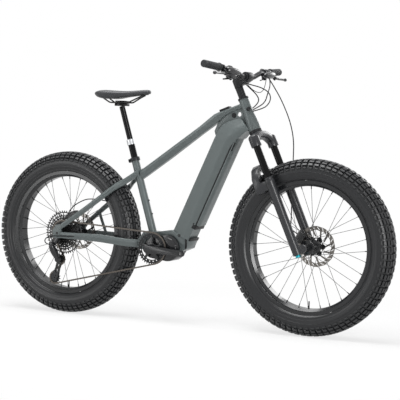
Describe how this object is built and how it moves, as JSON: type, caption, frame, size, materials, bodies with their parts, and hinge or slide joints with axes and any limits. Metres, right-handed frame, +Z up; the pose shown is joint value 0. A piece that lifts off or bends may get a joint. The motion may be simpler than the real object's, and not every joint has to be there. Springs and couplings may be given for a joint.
{
  "type": "fat tyre bike",
  "caption": "Hardtail fat tyre bike with mid motor, in-tube battery, suspension fork, hydraulic discs, dropper post and padded saddle; steers, rolls and pedals.",
  "frame": {"origin": "on the ground under the middle of the wheel base, in the bike's mid-plane", "axes": "+X forward, +Y to the rider's left, +Z up"},
  "size_m": [2.0226, 0.7534, 1.1766],
  "materials": {
    "frame_paint": "satin grey-green metallic paint over aluminium",
    "black_alloy": "satin black",
    "black_steel": "dark steel",
    "black_plastic": "matt black",
    "tyre_rubber": "knobbly rubber",
    "grip_rubber": "ribbed rubber",
    "rotor_steel": "ground steel",
    "chain_steel": "oiled bronze-coloured steel",
    "silver_alloy": "bright anodised",
    "teal_alloy": "teal anodised",
    "saddle_skin": "soft padded cover",
    "spoke_steel": "black spokes",
    "battery_pack": "frame-coloured cover over a black pack"
  },
  "bodies": {
    "frame": {"top_tube": "frame_paint", "head_tube": "frame_paint", "down_tube": "frame_paint", "seat_tube": "frame_paint", "motor_cradle": "frame_paint", "chainstays": "frame_paint", "seatstays": "frame_paint", "motor_housing": "black_alloy", "seat_clamp": "black_alloy", "dropper_tube": "black_alloy", "dropper_collar": "silver_alloy", "headset": "black_alloy", "control_unit": "black_plastic", "frame_fittings": "black_plastic", "rear_caliper": "black_alloy", "rear_axle": "black_steel", "rear_lines": "black_plastic", "chain": "chain_steel", "derailleur_body": "black_alloy"},
    "motor_rotor": {"motor_rotor": "black_steel"},
    "steering": {"fork_crown": "black_alloy", "stanchions": "black_alloy", "stem": "black_alloy", "handlebar": "black_alloy", "grips": "grip_rubber", "lever_clamps": "black_alloy", "bar_controls": "black_plastic", "bar_cables": "black_plastic", "front_hose": "black_plastic"},
    "fork_lowers": {"fork_lowers": "black_alloy", "front_caliper": "black_alloy"},
    "rebound_knob": {"rebound_knob": "teal_alloy"},
    "front_wheel": {"front_tyre": "tyre_rubber", "front_rim": "black_alloy", "front_spokes": "spoke_steel", "front_hub": "black_alloy", "front_rotor": "rotor_steel"},
    "rear_wheel": {"rear_tyre": "tyre_rubber", "rear_rim": "black_alloy", "rear_spokes": "spoke_steel", "rear_hub": "black_alloy", "rear_rotor": "rotor_steel"},
    "cassette": {"cassette": "black_steel"},
    "crank": {"crank_set": "black_alloy", "chainring": "black_alloy"},
    "guide_pulley": {"guide_pulley": "black_alloy"},
    "tension_pulley": {"tension_pulley": "black_alloy"},
    "derailleur_cage": {"derailleur_cage": "black_alloy"},
    "saddle_post": {"dropper_post": "black_alloy", "saddle_frame": "black_plastic", "saddle_cover": "saddle_skin"},
    "brake_right": {"brake_lever_right": "black_alloy"},
    "brake_left": {"brake_lever_left": "black_alloy"},
    "shift_down": {"shift_lever_down": "black_plastic"},
    "shift_up": {"shift_lever_up": "black_plastic"},
    "dropper_lever": {"dropper_lever": "black_plastic"},
    "assist_up": {"assist_up": "black_plastic"},
    "assist_down": {"assist_down": "black_plastic"},
    "power_button": {"power_button": "black_plastic"},
    "battery": {"battery": "battery_pack"}
  },
  "joints": [
    {"name": "steering_turn", "type": "hinge", "parent": "frame", "child": "steering", "pos_m": [0.349, 0, 0.886], "axis": [-0.4067, 0, 0.9135], "range_deg": [-45, 45], "deforming": ["bar_cables"]},
    {"name": "fork_stroke", "type": "slide", "parent": "steering", "child": "fork_lowers", "axis": [-0.4067, 0, 0.9135], "range_m": [0, 0.1], "stiffness_N_per_m": 6000, "springref_m": -0.04, "deforming": ["front_hose"]},
    {"name": "front_wheel_spin", "type": "hinge", "parent": "fork_lowers", "child": "front_wheel", "pos_m": [0.6263, 0, 0.385], "axis": [0, 1, 0], "continuous": true},
    {"name": "rear_wheel_spin", "type": "hinge", "parent": "frame", "child": "rear_wheel", "pos_m": [-0.6263, 0, 0.385], "axis": [0, 1, 0], "continuous": true},
    {"name": "crank_spin", "type": "hinge", "parent": "frame", "child": "crank", "pos_m": [-0.134, 0, 0.339], "axis": [0, 1, 0], "continuous": true},
    {"name": "cassette_spin", "type": "hinge", "parent": "frame", "child": "cassette", "pos_m": [-0.6263, 0, 0.385], "axis": [0, 1, 0], "continuous": true},
    {"name": "motor_rotor_spin", "type": "hinge", "parent": "frame", "child": "motor_rotor", "pos_m": [-0.058, 0, 0.344], "axis": [0, 1, 0], "continuous": true},
    {"name": "cage_swing", "type": "hinge", "parent": "frame", "child": "derailleur_cage", "pos_m": [-0.636, -0.0604, 0.258], "axis": [0, 1, 0], "range_deg": [-20, 0], "stiffness_Nm_per_rad": 0.6, "springref_deg": 34.38, "deforming": ["chain"]},
    {"name": "guide_pulley_spin", "type": "hinge", "parent": "derailleur_cage", "child": "guide_pulley", "pos_m": [-0.636, -0.0604, 0.258], "axis": [0, 1, 0], "continuous": true},
    {"name": "tension_pulley_spin", "type": "hinge", "parent": "derailleur_cage", "child": "tension_pulley", "pos_m": [-0.666, -0.0604, 0.168], "axis": [0, 1, 0], "continuous": true},
    {"name": "dropper_slide", "type": "slide", "parent": "frame", "child": "saddle_post", "axis": [-0.2957, 0, 0.9553], "range_m": [-0.15, 0], "stiffness_N_per_m": 150, "springref_m": 0.8},
    {"name": "brake_right_pull", "type": "hinge", "parent": "steering", "child": "brake_right", "pos_m": [0.32363, -0.24787, 1.12625], "axis": [-0.6584, 0, -0.7527], "range_deg": [0, 14], "stiffness_Nm_per_rad": 0.8, "springref_deg": -11.46},
    {"name": "brake_left_pull", "type": "hinge", "parent": "steering", "child": "brake_left", "pos_m": [0.32363, 0.24787, 1.12625], "axis": [0.6584, 0, 0.7527], "range_deg": [0, 14], "stiffness_Nm_per_rad": 0.8, "springref_deg": -11.46},
    {"name": "shift_down_push", "type": "hinge", "parent": "steering", "child": "shift_down", "pos_m": [0.30703, -0.168, 1.11247], "axis": [0.1659, 0, -0.9861], "range_deg": [0, 20], "stiffness_Nm_per_rad": 0.3, "springref_deg": -11.46},
    {"name": "shift_up_push", "type": "hinge", "parent": "steering", "child": "shift_up", "pos_m": [0.30809, -0.168, 1.10615], "axis": [-0.1659, 0, 0.9861], "range_deg": [0, 15], "stiffness_Nm_per_rad": 0.3, "springref_deg": -11.46},
    {"name": "dropper_lever_push", "type": "hinge", "parent": "steering", "child": "dropper_lever", "pos_m": [0.30532, 0.176, 1.11936], "axis": [0.1659, 0, -0.9861], "range_deg": [0, 20], "stiffness_Nm_per_rad": 0.3, "springref_deg": -11.46},
    {"name": "assist_up_press", "type": "slide", "parent": "steering", "child": "assist_up", "axis": [0.9749, 0, -0.2227], "range_m": [0, 0.0012], "stiffness_N_per_m": 600, "springref_m": -0.0012},
    {"name": "assist_down_press", "type": "slide", "parent": "steering", "child": "assist_down", "axis": [0.9749, 0, -0.2227], "range_m": [0, 0.0012], "stiffness_N_per_m": 600, "springref_m": -0.0012},
    {"name": "power_button_press", "type": "slide", "parent": "frame", "child": "power_button", "axis": [0.3468, 0, -0.9379], "range_m": [0, 0.0008], "stiffness_N_per_m": 800, "springref_m": -0.0012},
    {"name": "battery_swing", "type": "hinge", "parent": "frame", "child": "battery", "pos_m": [0.07141, 0, 0.46167], "axis": [0, 1, 0], "range_deg": [0, 4]},
    {"name": "rebound_turn", "type": "hinge", "parent": "fork_lowers", "child": "rebound_knob", "pos_m": [0.60552, -0.087, 0.35656], "axis": [0.4067, 0, -0.9135], "range_deg": [0, 270]}
  ],
  "couplings": [
    {"joint": "cassette_spin", "follows": "crank_spin", "ratio": 1.2857},
    {"joint": "tension_pulley_spin", "follows": "crank_spin", "ratio": 2.5714},
    {"joint": "guide_pulley_spin", "follows": "crank_spin", "ratio": -3}
  ]
}
